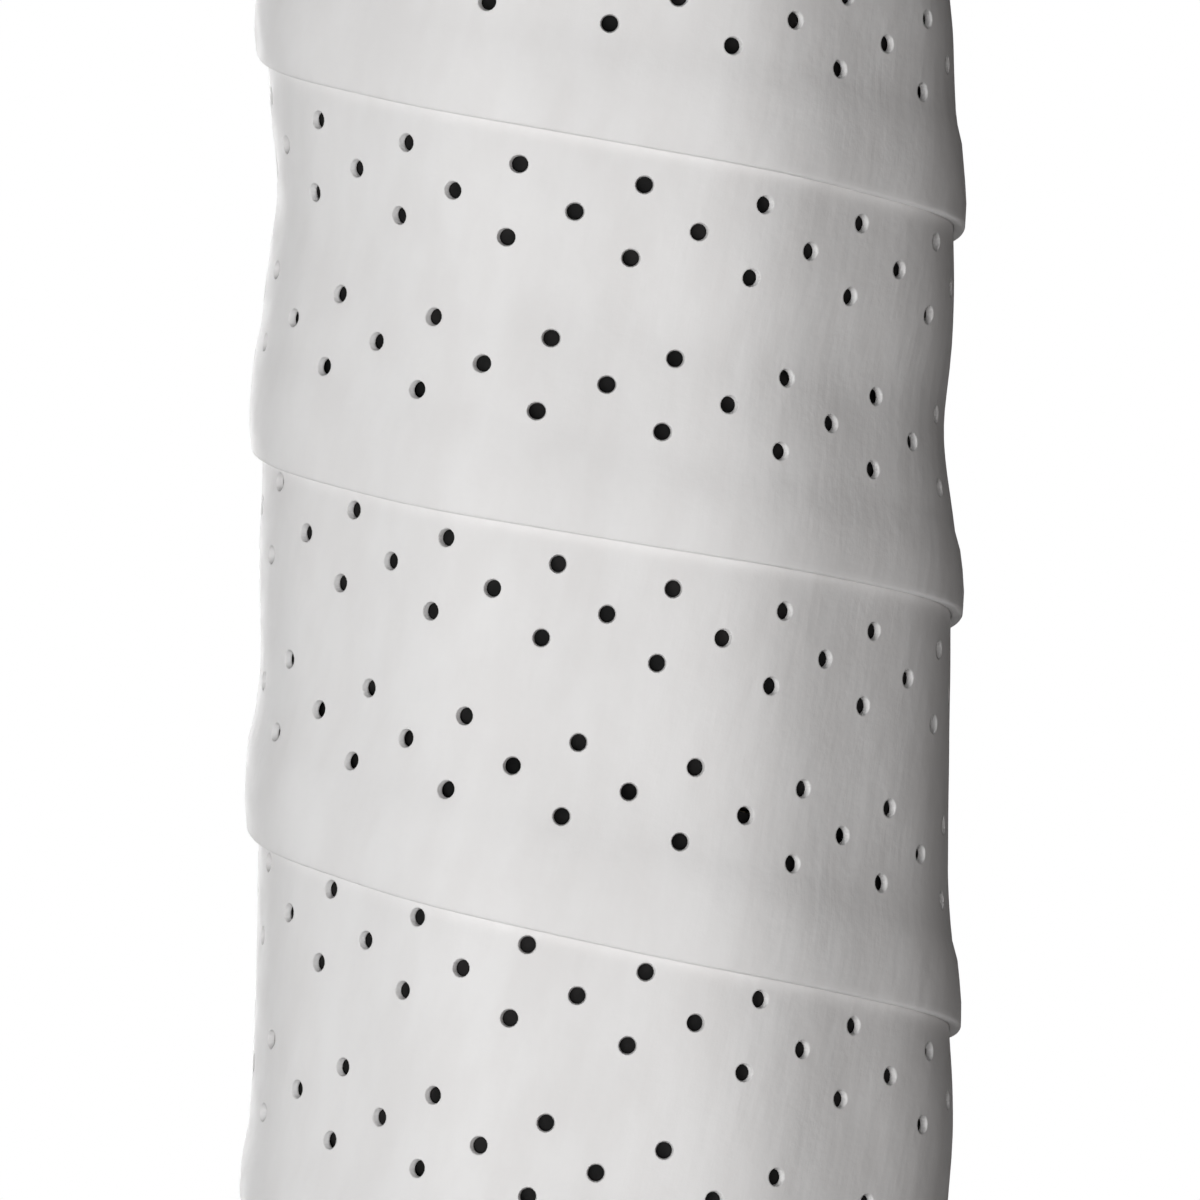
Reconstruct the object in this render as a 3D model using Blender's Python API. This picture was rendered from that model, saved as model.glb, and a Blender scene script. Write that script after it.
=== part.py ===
"""Racket handle wrapped in perforated grip tape, standing on its butt cap.

Layers are offsets of a core octagon, so they nest by construction. The pallets and butt cap have crisp
ridges. The cushioned base grip thins over the ridges, so that the grip tape on it has round ones. The
tapes are strips wound on the handle as left-handed helices, from the butt upwards.
"""

import math

import bmesh
import bpy
from mathutils import Matrix, Vector

MM = 0.001

# Core octagon: half sizes to its flats, and half lengths of the front and side flats.
CORE_HALF_WIDTH = 13.2 * MM
CORE_HALF_DEPTH = 11.1 * MM
FRONT_FLAT_HALF = 5.83 * MM
SIDE_FLAT_HALF = 3.73 * MM
ARC_STEPS = 3

# The wrapped layers' core is smaller by this much, and their offsets larger by it, for rounder ridges.
ROUNDING = 5.0 * MM
FLAT_LOSS = ROUNDING * math.tan(math.radians(22.5))

# Offsets from the core octagon, layer by layer.
CLEARANCE = 0.3 * MM
PALLET_OFFSET = 2.2 * MM
CAP_WALL = 1.2 * MM
BASE_GRIP_THICKNESS = 1.6 * MM
TAPE_THICKNESS = 0.6 * MM
LAYER_GAP = 0.12 * MM
BASE_GRIP_INNER = PALLET_OFFSET + CLEARANCE
TAPE_INNER = BASE_GRIP_INNER + BASE_GRIP_THICKNESS + CLEARANCE
TAPE_OUTER = TAPE_INNER + TAPE_THICKNESS
TAPE_LIFT = TAPE_THICKNESS + LAYER_GAP

# Heights along the handle, from the plane that it stands on.
SHAFT_BOTTOM = 11.0 * MM
SHAFT_TOP = 246.0 * MM
PALLET_BOTTOM = 10.0 * MM
PALLET_TOP = 188.0 * MM
PALLET_CHAMFER = 0.8 * MM
CAP_FLOOR = 3.2 * MM
CAP_LEDGE = 4.2 * MM
CAP_TOP = 30.0 * MM
GRIP_BOTTOM = 4.8 * MM
BASE_GRIP_TOP = 186.0 * MM
TAPE_TOP = 184.0 * MM

# Flare of the butt: extra offset that fades out at FLARE_TOP.
FLARE_DEPTH = 4.0 * MM
FLARE_TOP = 32.0 * MM
FLARE_POWER = 2.2

# Grip tape as bought: a strip this wide, wound with this much rise a turn.
TAPE_WIDTH = 25.0 * MM
TAPE_PITCH = 20.9 * MM
TAPE_FRONT_EDGE = 52.3 * MM
TAPE_FRONT_TURN = 3
TAPE_END_WIDTH = 6.0 * MM
TAB_TURNS = 0.14
TAB_THICKNESS = 0.2 * MM
TAB_HEIGHTS = (0.4 * MM, 3.0 * MM, 5.6 * MM)
DRAPE = 1.6 * MM
EDGE_MARGIN = 0.2 * MM

BASE_STRIP_WIDTH = 23.6 * MM
BASE_PITCH = 24.4 * MM
BASE_START = -0.045
BASE_SQUEEZE = 0.8 * MM
SQUEEZE_FROM = 170.0 * MM
SQUEEZE_TO = 174.0 * MM

# Shaft: the two ends of the frame's tube, side by side.
TUBE_WIDTH = 11.4 * MM
TUBE_DEPTH = 16.0 * MM
TUBE_OUTER_RADIUS = 5.5 * MM
TUBE_INNER_RADIUS = 2.0 * MM
TUBE_WALL = 1.4 * MM
TUBE_SPACING = 12.0 * MM

# Rim of the butt cap, as (height, offset), and the heights where its flare has a ring of points.
CAP_RIM = ((0.0, 7.8 * MM), (0.8 * MM, 8.6 * MM), (3.6 * MM, 8.6 * MM), (CAP_LEDGE, 8.0 * MM))
CAP_FLARE = (CAP_LEDGE, 8 * MM, 12 * MM, 17 * MM, 23 * MM, CAP_TOP)

# Door in the butt cap's floor: a smaller core octagon, with the offsets of its opening and of its seat.
DOOR_CORE = (11.3 * MM, 8.3 * MM, 8.3 * MM, 5.3 * MM)
DOOR_OPENING = 1.0 * MM
DOOR_SEAT = 1.8 * MM
SEAT_TOP = 1.6 * MM
DOOR_BOTTOM = 0.5 * MM
DOOR_CHAMFER = 0.3 * MM
DOOR_LEG = (1.2 * MM, 7.0 * MM, 5.5 * MM)
LEG_PLACE = 11.2 * MM
LEG_SUNK = 0.4 * MM
NOTCH_SIZE = (6.0 * MM, 1.6 * MM, 1.0 * MM)
BADGE_SIZE = (14.0 * MM, 10.0 * MM, 0.55 * MM)
BADGE_HEIGHT = 0.8 * MM
POCKET_TOP = 1.4 * MM

# Staples of flat wire: crown length, leg length, wire thickness and wire width.
STAPLE_CROWN = 5.0 * MM
STAPLE_LEG = 3.4 * MM
STAPLE_WIRE = 0.5 * MM
STAPLE_WIDTH = 1.2 * MM
CAP_STAPLE_HEIGHT = 22.0 * MM
CAP_STAPLE_SIDE = 3.2 * MM
CAP_STAPLE_SUNK = 0.35 * MM
GRIP_STAPLE_HEIGHT = 8.0 * MM
GRIP_STAPLE_SUNK = 0.5 * MM
SLOT_REACH = 2.5 * MM

# Films that close the base grip and the tape, as (height, offset) of their inner side.
FILM_THICKNESS = 0.25 * MM
BASE_FILM = ((176 * MM, 3.6 * MM), (190 * MM, 3.6 * MM))
TAPE_FILM = ((177 * MM, 6.02 * MM), (184.6 * MM, 6.02 * MM), (187.6 * MM, 4.3 * MM), (190.5 * MM, 4.3 * MM))

# Rubber collar as (height, offset): skirt on the handle, neck round both shaft tubes, and skirt's lining.
COLLAR_SKIRT = ((181 * MM, 7.5 * MM), (181.6 * MM, 7.9 * MM), (187 * MM, 7.9 * MM), (190.5 * MM, 7.3 * MM),
                (193.5 * MM, 5.9 * MM))
COLLAR_LINING = ((193 * MM, 4.6 * MM), (190 * MM, 5.9 * MM), (187.6 * MM, 6.6 * MM), (181 * MM, 6.6 * MM))
SHAFT_CORE = (7.0 * MM, 3.3 * MM, 6.5 * MM, 2.83 * MM)
NECK_INNER = 5.0 * MM
NECK = ((197 * MM, 7.4 * MM), (203.2 * MM, 6.2 * MM), (204 * MM, 5.8 * MM), (204 * MM, NECK_INNER),
        (197.5 * MM, NECK_INNER))

HANDLE_CORE = (CORE_HALF_WIDTH, CORE_HALF_DEPTH, FRONT_FLAT_HALF, SIDE_FLAT_HALF)
WRAP_CORE = (
    CORE_HALF_WIDTH - ROUNDING,
    CORE_HALF_DEPTH - ROUNDING,
    FRONT_FLAT_HALF - FLAT_LOSS,
    SIDE_FLAT_HALF - FLAT_LOSS,
)


def clear_scene():
    for obj in list(bpy.data.objects):
        bpy.data.objects.remove(obj, do_unlink=True)


def collection(name):
    made = bpy.data.collections.new(name)
    bpy.context.scene.collection.children.link(made)
    return made


def material(name, colour, roughness, metallic=0.0):
    made = bpy.data.materials.new(name)
    made.use_nodes = True
    shader = made.node_tree.nodes["Principled BSDF"]
    shader.inputs["Base Color"].default_value = (*colour, 1.0)
    shader.inputs["Roughness"].default_value = roughness
    shader.inputs["Metallic"].default_value = metallic
    made.diffuse_color = (*colour, 1.0)
    return made


def add_part(obj, finish, parent):
    """Gives an object its material, its parent empty and its place among the parts."""
    for holder in list(obj.users_collection):
        holder.objects.unlink(obj)
    PARTS.objects.link(obj)
    obj.data.materials.clear()
    obj.data.materials.append(finish)
    obj.parent = parent
    return obj


def shade(obj):
    obj.data.shade_smooth()
    obj.data.set_sharp_from_angle(angle=math.radians(30))


def object_from(bm, name):
    bmesh.ops.recalc_face_normals(bm, faces=bm.faces)
    mesh = bpy.data.meshes.new(name)
    bm.to_mesh(mesh)
    bm.free()
    obj = bpy.data.objects.new(name, mesh)
    shade(obj)
    return obj


def core_corners(core):
    """Corners of a core octagon, clockwise from above, starting left of the front flat's middle."""
    half_width, half_depth, flat_x, flat_y = core
    quarter = [(flat_x, half_depth), (half_width, flat_y)]
    left = [(-x, -y) for x, y in quarter] + [(-x, y) for x, y in reversed(quarter)]
    right = [(-x, -y) for x, y in left]
    return [Vector(corner) for corner in left + right]


def stations(core):
    """(corner, outward normal) at each point of the outline, with the corners' arcs in ARC_STEPS."""
    found = []
    for index, corner in enumerate(core_corners(core)):
        for step in range(ARC_STEPS + 1):
            angle = math.radians(-90 - 45 * (index + step / ARC_STEPS))
            found.append((corner, Vector((math.cos(angle), math.sin(angle)))))
    return found


def ring(core, offset, height):
    return [(*(corner + normal * offset), height) for corner, normal in stations(core)]


def wrap_ring(offset, height):
    """Outline of a wrapped layer; its offset is given from the handle's core, as for the other layers."""
    return ring(WRAP_CORE, offset + ROUNDING, height)


def flare(height):
    """Extra offset of every layer near the butt."""
    fade = max(0.0, 1 - height / FLARE_TOP)
    return FLARE_DEPTH * fade**FLARE_POWER


def loft(name, rings, closed_profile=False):
    """Skin through rings of equally many points: capped at both ends, or joined from last to first."""
    bm = bmesh.new()
    rows = [[bm.verts.new(point) for point in points] for points in rings]
    pairs = list(zip(rows, rows[1:]))
    if closed_profile:
        pairs.append((rows[-1], rows[0]))
    for low, high in pairs:
        for index in range(len(low)):
            after = (index + 1) % len(low)
            bm.faces.new((low[index], low[after], high[after], high[index]))
    if not closed_profile:
        bm.faces.new(rows[0])
        bm.faces.new(rows[-1])
    return object_from(bm, name)


def band(name, profile):
    """Closed ring round the wrapped handle, from (height, offset) points of its cross-section."""
    return loft(name, [wrap_ring(offset, height) for height, offset in profile], closed_profile=True)


def cutter(obj):
    obj.hide_render = True
    obj.display_type = "WIRE"
    CUTTERS.objects.link(obj)
    return obj


def add_boolean(target, other, operation="DIFFERENCE"):
    modifier = target.modifiers.new(f"{operation.lower()}_{other.name}", "BOOLEAN")
    modifier.operation = operation
    modifier.solver = "EXACT"
    modifier.object = other


def box(name, size, centre):
    bm = bmesh.new()
    bmesh.ops.create_cube(bm, size=1.0)
    bmesh.ops.scale(bm, vec=size, verts=bm.verts)
    bmesh.ops.translate(bm, vec=centre, verts=bm.verts)
    return object_from(bm, name)


def flat_outline(name, outlines, thickness):
    """Solid plate or tube from closed 2D outlines; an outline inside another is a hole."""
    curve = bpy.data.curves.new(name, "CURVE")
    curve.dimensions = "2D"
    curve.fill_mode = "BOTH"
    curve.extrude = thickness / 2
    for points in outlines:
        spline = curve.splines.new("POLY")
        spline.points.add(len(points) - 1)
        for target, (x, y) in zip(spline.points, points):
            target.co = (x, y, 0, 1)
        spline.use_cyclic_u = True
    return bpy.data.objects.new(name, curve)


# ---- Wound strips ----


def turn_length():
    """Length of one turn along the outside of the tape, square to the handle."""
    corners = core_corners(WRAP_CORE)
    straight = sum((b - a).length for a, b in zip(corners, corners[1:] + corners[:1]))
    return straight + 2 * math.pi * (TAPE_OUTER + ROUNDING)


def turn_shares():
    """Share of a turn at each station, measured clockwise from the middle of the front flat."""
    outline = stations(WRAP_CORE)
    radius = TAPE_OUTER + ROUNDING
    arc = radius * math.pi / 4 / ARC_STEPS
    along, found = WRAP_CORE[2], []
    for index, (corner, _) in enumerate(outline):
        if index:
            step = (corner - outline[index - 1][0]).length
            along += step if step > 0 else arc
        found.append(along / turn_length())
    return found


def wound_stations(first, last):
    """(turns, handle station, wrap station) at each station between two turn counts."""
    found = []
    for turn in range(math.floor(first) - 1, math.ceil(last) + 1):
        for share, crisp, soft in zip(turn_shares(), stations(HANDLE_CORE), stations(WRAP_CORE)):
            if first <= turn + share <= last:
                found.append((turn + share, crisp, soft))
    return found


def strip_height(width, pitch):
    """Height of a strip measured along the handle, from its width across."""
    return width / math.cos(math.atan(pitch / turn_length()))


def clipped(low, high, bottom, top):
    return max(low, bottom), min(high, top)


def wind(name, points, rows, inner, outer, crisp_inside=False):
    """Closed strip: at each station a row of heights, with the offsets of its two sides at each."""
    bm = bmesh.new()
    made = []
    for (_, crisp, soft), heights, low, high in zip(points, rows, inner, outer):
        corner, normal = crisp if crisp_inside else soft
        sunk = 0.0 if crisp_inside else ROUNDING
        inside = [(*(corner + normal * (offset + sunk)), z) for z, offset in zip(heights, low)]
        corner, normal = soft
        outside = [(*(corner + normal * (offset + ROUNDING)), z) for z, offset in zip(heights, high)]
        made.append([bm.verts.new(point) for point in inside + outside[::-1]])
    for here, after in zip(made, made[1:]):
        for index in range(len(here)):
            following = (index + 1) % len(here)
            bm.faces.new((here[index], here[following], after[following], after[index]))
    for end in (made[0], made[-1]):
        count = len(end)
        for index in range(count // 2 - 1):
            bm.faces.new((end[index], end[index + 1], end[count - 2 - index], end[count - 1 - index]))
    return object_from(bm, name)


def base_grip():
    """Cushioned strip under the tape, its turns laid edge to edge and squeezed flat at the top."""
    height = strip_height(BASE_STRIP_WIDTH, BASE_PITCH)
    start_edge = GRIP_BOTTOM + TAPE_END_WIDTH - height
    last = BASE_START + (BASE_GRIP_TOP - TAPE_END_WIDTH - start_edge) / BASE_PITCH
    points = wound_stations(BASE_START, last)
    rows = []
    for turns, _, _ in points:
        edge = start_edge + (turns - BASE_START) * BASE_PITCH
        low, high = clipped(edge, edge + height, GRIP_BOTTOM, BASE_GRIP_TOP)
        rows.append([low + (high - low) * share for share in (0, 0.25, 0.5, 0.75, 1)])
    inner = [[BASE_GRIP_INNER + flare(z) for z in heights] for heights in rows]
    outer = [[BASE_GRIP_INNER + flare(z) + cushion_thickness(z) for z in heights] for heights in rows]
    return wind("base_grip", points, rows, inner, outer, crisp_inside=True)


def cushion_thickness(height):
    """Thickness of the base grip: full, but squeezed under its finishing tape at the top."""
    squeeze = (height - SQUEEZE_FROM) / (SQUEEZE_TO - SQUEEZE_FROM)
    return BASE_GRIP_THICKNESS - BASE_SQUEEZE * min(1.0, max(0.0, squeeze))


def tape_edge(turns):
    """Height of the tape's lower edge, before it is trimmed at the butt."""
    return TAPE_FRONT_EDGE + (turns - TAPE_FRONT_TURN) * TAPE_PITCH


def tape_limits():
    """Turn counts where the tape starts and ends, each TAPE_END_WIDTH wide there."""
    height = strip_height(TAPE_WIDTH, TAPE_PITCH)
    first = TAPE_FRONT_TURN + (GRIP_BOTTOM + TAPE_END_WIDTH - height - TAPE_FRONT_EDGE) / TAPE_PITCH
    last = TAPE_FRONT_TURN + (TAPE_TOP - TAPE_END_WIDTH - TAPE_FRONT_EDGE) / TAPE_PITCH
    return first, last


def covered_height(turns, first):
    """Height up to which the turn below, or the starter tab, lies under the tape."""
    if turns - 1 < first - TAB_TURNS:
        return None
    if turns - 1 < first:
        return GRIP_BOTTOM + TAPE_END_WIDTH
    high = tape_edge(turns - 1) + strip_height(TAPE_WIDTH, TAPE_PITCH)
    return min(high, TAPE_TOP)


def overgrip():
    """The perforated tape's strip. Each turn laps the one below and drapes down off its edge."""
    first, last = tape_limits()
    points = wound_stations(first, last)
    height = strip_height(TAPE_WIDTH, TAPE_PITCH)
    rows, lifted = [], []
    for turns, _, _ in points:
        low, high = clipped(tape_edge(turns), tape_edge(turns) + height, GRIP_BOTTOM, TAPE_TOP)
        under = covered_height(turns, first)
        lap = under + EDGE_MARGIN if under else low + 0.3 * (high - low)
        lap = min(lap, low + 0.7 * (high - low))
        drape = min(lap + DRAPE, lap + 0.4 * (high - lap))
        heights = [low, lap, drape, (drape + high) / 2, high]
        over = [under is not None and z < under for z in [low] + heights[:-1]]
        rows.append(heights)
        lifted.append(over)
    inner = []
    for index, heights in enumerate(rows):
        near = lifted[max(0, index - 1) : index + 2]
        raised = [any(flags) for flags in zip(*near)]
        inner.append([TAPE_INNER + flare(z) + TAPE_LIFT * up for z, up in zip(heights, raised)])
    outer = [[offset + TAPE_THICKNESS for offset in offsets] for offsets in inner]
    return wind("overgrip", points, rows, inner, outer)


def starter_tab():
    """Adhesive tab ahead of the tape's first edge, on the base grip and under the tape's second turn."""
    first, _ = tape_limits()
    points = wound_stations(first - TAB_TURNS, first)
    rows = [[GRIP_BOTTOM + height for height in TAB_HEIGHTS] for _ in points]
    inner = [[TAPE_INNER + flare(z) for z in heights] for heights in rows]
    outer = [[offset + TAB_THICKNESS for offset in offsets] for offsets in inner]
    return wind("overgrip_starter_tab", points, rows, inner, outer)


def finishing_film(name, inner):
    outer = [(height, offset + FILM_THICKNESS) for height, offset in reversed(inner)]
    return band(name, [*inner, *outer])


# ---- Handle under the tape ----


def tube_outline(side, growth):
    """Section of one shaft tube, grown outwards: round towards its own side, squarer at the other tube."""
    half_x, half_y = TUBE_WIDTH / 2 + growth, TUBE_DEPTH / 2 + growth
    points = []
    for quadrant, (towards_x, towards_y) in enumerate(((1, 1), (-1, 1), (-1, -1), (1, -1))):
        radius = growth + (TUBE_OUTER_RADIUS if towards_x == side else TUBE_INNER_RADIUS)
        for step in range(4):
            angle = math.radians(90 * (quadrant + step / 3))
            x = side * TUBE_SPACING / 2 + towards_x * (half_x - radius) + radius * math.cos(angle)
            y = towards_y * (half_y - radius) + radius * math.sin(angle)
            points.append((x, y))
    return points


def shaft_tube(side, name):
    tube = flat_outline(name, (tube_outline(side, 0.0), tube_outline(side, -TUBE_WALL)), SHAFT_TOP - SHAFT_BOTTOM)
    tube.location.z = (SHAFT_TOP + SHAFT_BOTTOM) / 2
    return tube


def pallet_outline(side, offset):
    """Half of the octagon with a channel for one shaft tube, open at the plane between the halves."""
    seam = CLEARANCE / 2
    outside = [corner + normal * offset for corner, normal in stations(HANDLE_CORE)]
    left = [point for point in outside if point.x < -seam]
    front_y = -(CORE_HALF_DEPTH + offset)
    channel_y = TUBE_DEPTH / 2 + CLEARANCE
    channel = [Vector(point) for point in tube_outline(-1, CLEARANCE)[4:12]]
    points = [Vector((-seam, front_y)), *left, Vector((-seam, -front_y))]
    points += [Vector((-seam, channel_y)), *channel, Vector((-seam, -channel_y))]
    return [Vector((-side * point.x, point.y)) for point in points]


def pallet(side, name):
    reduced = PALLET_OFFSET - CAP_WALL - CLEARANCE
    steps = (
        (PALLET_BOTTOM, reduced),
        (CAP_TOP + CLEARANCE, reduced),
        (CAP_TOP + 2 * CLEARANCE, PALLET_OFFSET),
        (PALLET_TOP - PALLET_CHAMFER, PALLET_OFFSET),
        (PALLET_TOP, PALLET_OFFSET - PALLET_CHAMFER),
    )
    rings = [[(*point, height) for point in pallet_outline(side, offset)] for height, offset in steps]
    return loft(name, rings)


def butt_cap():
    """Flared sleeve with a rim, a ledge for the grip to end on, and an opening with a seat for the door."""
    inner = PALLET_OFFSET - CAP_WALL
    profile = [*CAP_RIM, *((z, PALLET_OFFSET + flare(z)) for z in CAP_FLARE), (CAP_TOP, inner), (CAP_FLOOR, inner)]
    opening = ((CAP_FLOOR, DOOR_OPENING), (SEAT_TOP, DOOR_OPENING), (SEAT_TOP, DOOR_SEAT), (0.0, DOOR_SEAT))
    rings = [ring(HANDLE_CORE, offset, z) for z, offset in profile]
    rings += [ring(DOOR_CORE, offset, z) for z, offset in opening]
    return loft("butt_cap", rings, closed_profile=True)


def butt_cap_door():
    """Plug for the opening: a flange in the seat, a body in the opening, two spring legs and a pry notch."""
    flange, body, flange_top = DOOR_SEAT - CLEARANCE, DOOR_OPENING - CLEARANCE, SEAT_TOP - CLEARANCE
    profile = (
        (DOOR_BOTTOM, flange - DOOR_CHAMFER),
        (DOOR_BOTTOM + DOOR_CHAMFER, flange),
        (flange_top, flange),
        (flange_top, body),
        (CAP_FLOOR, body),
    )
    door = loft("butt_cap_door", [ring(DOOR_CORE, offset, z) for z, offset in profile])
    for side in (-1, 1):
        centre = (side * LEG_PLACE, 0, CAP_FLOOR - LEG_SUNK + DOOR_LEG[2] / 2)
        leg = cutter(box(f"door_leg_{side:+d}", DOOR_LEG, centre))
        add_boolean(door, leg, "UNION")
    notch = cutter(box("door_notch", NOTCH_SIZE, (0, DOOR_CORE[1] + flange, DOOR_BOTTOM)))
    add_boolean(door, notch)
    pocket = cutter(badge_disc("badge_pocket", CLEARANCE, 0.0, 2 * POCKET_TOP))
    add_boolean(door, pocket)
    return door


def badge_disc(name, margin, height, thickness):
    """Oval disc on the door's axis, as wide as the badge and its margin."""
    bm = bmesh.new()
    bmesh.ops.create_cone(bm, cap_ends=True, segments=40, radius1=0.5, radius2=0.5, depth=1.0)
    size = (BADGE_SIZE[0] + 2 * margin, BADGE_SIZE[1] + 2 * margin, thickness)
    bmesh.ops.scale(bm, vec=size, verts=bm.verts)
    bmesh.ops.translate(bm, vec=(0, 0, height), verts=bm.verts)
    return object_from(bm, name)


def staple_outline(margin):
    """U of flat wire, its crown's outer face on the X axis and its legs towards -Y."""
    half = STAPLE_CROWN / 2 + margin
    inner = STAPLE_CROWN / 2 - STAPLE_WIRE - margin
    crown = STAPLE_WIRE + margin
    leg = STAPLE_LEG + margin
    left = [(-half, margin), (-half, -leg), (-inner, -leg), (-inner, -crown)]
    return left + [(-x, y) for x, y in reversed(left)]


def staple(name, place):
    made = flat_outline(name, (staple_outline(0.0),), STAPLE_WIDTH)
    made.matrix_world = place
    return made


def staple_slot(name, place):
    """Room for a staple, open to the outside over its crown."""
    slot = flat_outline(name, (staple_outline(CLEARANCE),), STAPLE_WIDTH + 2 * CLEARANCE)
    for point in slot.data.splines[0].points:
        if point.co.y > 0:
            point.co.y = SLOT_REACH
    bpy.context.scene.collection.objects.link(slot)
    bpy.context.view_layer.update()
    graph = bpy.context.evaluated_depsgraph_get()
    mesh = bpy.data.meshes.new_from_object(slot.evaluated_get(graph))
    bpy.data.objects.remove(slot, do_unlink=True)
    bm = bmesh.new()
    bm.from_mesh(mesh)
    bmesh.ops.remove_doubles(bm, verts=bm.verts, dist=0.001 * MM)
    bpy.data.meshes.remove(mesh)
    made = object_from(bm, name)
    made.matrix_world = place
    return cutter(made)


def facing(outward_y, x, depth, height):
    """Placement for a staple on the front or back flat, with its crown's face at this depth."""
    turn = Matrix.Rotation(0.0 if outward_y > 0 else math.pi, 4, "Z")
    return Matrix.Translation((x, outward_y * depth, height)) @ turn


def add_staples(cap, pallets, grip):
    steel = material("staple_steel", (0.62, 0.62, 0.64), 0.3, 1.0)
    depth = CORE_HALF_DEPTH + PALLET_OFFSET + flare(CAP_STAPLE_HEIGHT) - CAP_STAPLE_SUNK
    for face, outward in (("front", -1), ("back", 1)):
        for side_name, side in (("left", -1), ("right", 1)):
            place = facing(outward, side * CAP_STAPLE_SIDE, depth, CAP_STAPLE_HEIGHT)
            name = f"butt_cap_staple_{face}_{side_name}"
            add_part(staple(name, place), steel, ROOT)
            slot = staple_slot(f"{name}_slot", place)
            add_boolean(cap, slot)
            add_boolean(pallets[side], slot)
    surface = CORE_HALF_DEPTH + TAPE_INNER - CLEARANCE + flare(GRIP_STAPLE_HEIGHT)
    place = facing(-1, 0, surface - GRIP_STAPLE_SUNK, GRIP_STAPLE_HEIGHT)
    add_part(staple("base_grip_staple", place), steel, ROOT)
    slot = staple_slot("base_grip_staple_slot", place)
    add_boolean(cap, slot)
    add_boolean(grip, slot)


def rubber_collar():
    """Stretched sleeve over the tape's top end: octagonal skirt, shoulder, and a neck on the shaft."""
    rings = [wrap_ring(offset, z) for z, offset in COLLAR_SKIRT]
    rings += [ring(SHAFT_CORE, offset, z) for z, offset in NECK]
    rings += [wrap_ring(offset, z) for z, offset in COLLAR_LINING]
    return loft("rubber_collar", rings, closed_profile=True)


clear_scene()
PARTS = collection("wrapped_racket_handle")
CUTTERS = collection("cutters")

ROOT = bpy.data.objects.new("handle_frame", None)
COLLAR_SLIDE = bpy.data.objects.new("collar_slide", None)
DOOR_SLIDE = bpy.data.objects.new("door_slide", None)
for empty in (ROOT, COLLAR_SLIDE, DOOR_SLIDE):
    PARTS.objects.link(empty)
COLLAR_SLIDE.parent = ROOT
DOOR_SLIDE.parent = ROOT

CARBON = material("shaft_carbon", (0.03, 0.03, 0.035), 0.35)
FOAM = material("pallet_foam", (0.55, 0.47, 0.33), 0.8)
CAP_PLASTIC = material("butt_cap_plastic", (0.045, 0.045, 0.05), 0.5)
DOOR_PLASTIC = material("door_plastic", (0.06, 0.06, 0.065), 0.4)
BADGE_PLASTIC = material("badge_plastic", (0.6, 0.6, 0.62), 0.25)
CUSHION = material("base_grip_cushion", (0.02, 0.02, 0.02), 0.6)
BLACK_TAPE = material("base_finishing_tape", (0.03, 0.03, 0.03), 0.35)
TAPE_WHITE = material("overgrip_white", (0.8, 0.8, 0.79), 0.55)
TAB_FILM = material("starter_tab_film", (0.75, 0.74, 0.68), 0.3)
CLOSING_TAPE = material("overgrip_finishing_film", (0.7, 0.7, 0.7), 0.3)
COLLAR_RUBBER = material("collar_rubber", (0.03, 0.03, 0.03), 0.7)

PALLETS = {}
for side_name, side in (("left", -1), ("right", 1)):
    add_part(shaft_tube(side, f"shaft_tube_{side_name}"), CARBON, ROOT)
    PALLETS[side] = add_part(pallet(side, f"pallet_{side_name}"), FOAM, ROOT)

CAP = add_part(butt_cap(), CAP_PLASTIC, ROOT)
add_part(butt_cap_door(), DOOR_PLASTIC, DOOR_SLIDE)
add_part(badge_disc("butt_cap_badge", 0.0, BADGE_HEIGHT, BADGE_SIZE[2]), BADGE_PLASTIC, DOOR_SLIDE)

GRIP = add_part(base_grip(), CUSHION, ROOT)
add_staples(CAP, PALLETS, GRIP)
add_part(finishing_film("base_grip_finishing_tape", BASE_FILM), BLACK_TAPE, ROOT)

add_part(starter_tab(), TAB_FILM, ROOT)
add_part(overgrip(), TAPE_WHITE, ROOT)
add_part(finishing_film("overgrip_finishing_tape", TAPE_FILM), CLOSING_TAPE, ROOT)
add_part(rubber_collar(), COLLAR_RUBBER, COLLAR_SLIDE)
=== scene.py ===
"""Looks of the wrapped racket handle, built round the CAD frame: perforated tape on a cushioned base grip.

The tape is a flat strip with (along, across) coordinates in millimetres. It is laid on the unrolled handle,
whose coordinates are the distance clockwise round the handle and the height, and then rolled up.
"""

import math

import bmesh
import bpy
import numpy as np
from mathutils import Matrix, Vector, noise


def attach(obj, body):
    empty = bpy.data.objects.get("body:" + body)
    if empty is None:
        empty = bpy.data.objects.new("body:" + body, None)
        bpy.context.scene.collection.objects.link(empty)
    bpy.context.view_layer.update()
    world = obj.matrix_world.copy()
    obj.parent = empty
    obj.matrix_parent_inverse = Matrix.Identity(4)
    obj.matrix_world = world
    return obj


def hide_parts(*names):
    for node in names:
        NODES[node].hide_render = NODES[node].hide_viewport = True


MM = 0.001

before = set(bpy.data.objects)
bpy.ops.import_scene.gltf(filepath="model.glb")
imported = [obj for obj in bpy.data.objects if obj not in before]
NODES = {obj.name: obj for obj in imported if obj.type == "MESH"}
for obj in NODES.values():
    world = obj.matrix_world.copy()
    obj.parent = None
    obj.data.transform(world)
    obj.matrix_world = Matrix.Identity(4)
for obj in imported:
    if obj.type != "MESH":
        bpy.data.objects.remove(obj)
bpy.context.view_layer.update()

# ---- Driving sizes in millimetres, as in the CAD ----

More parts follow.
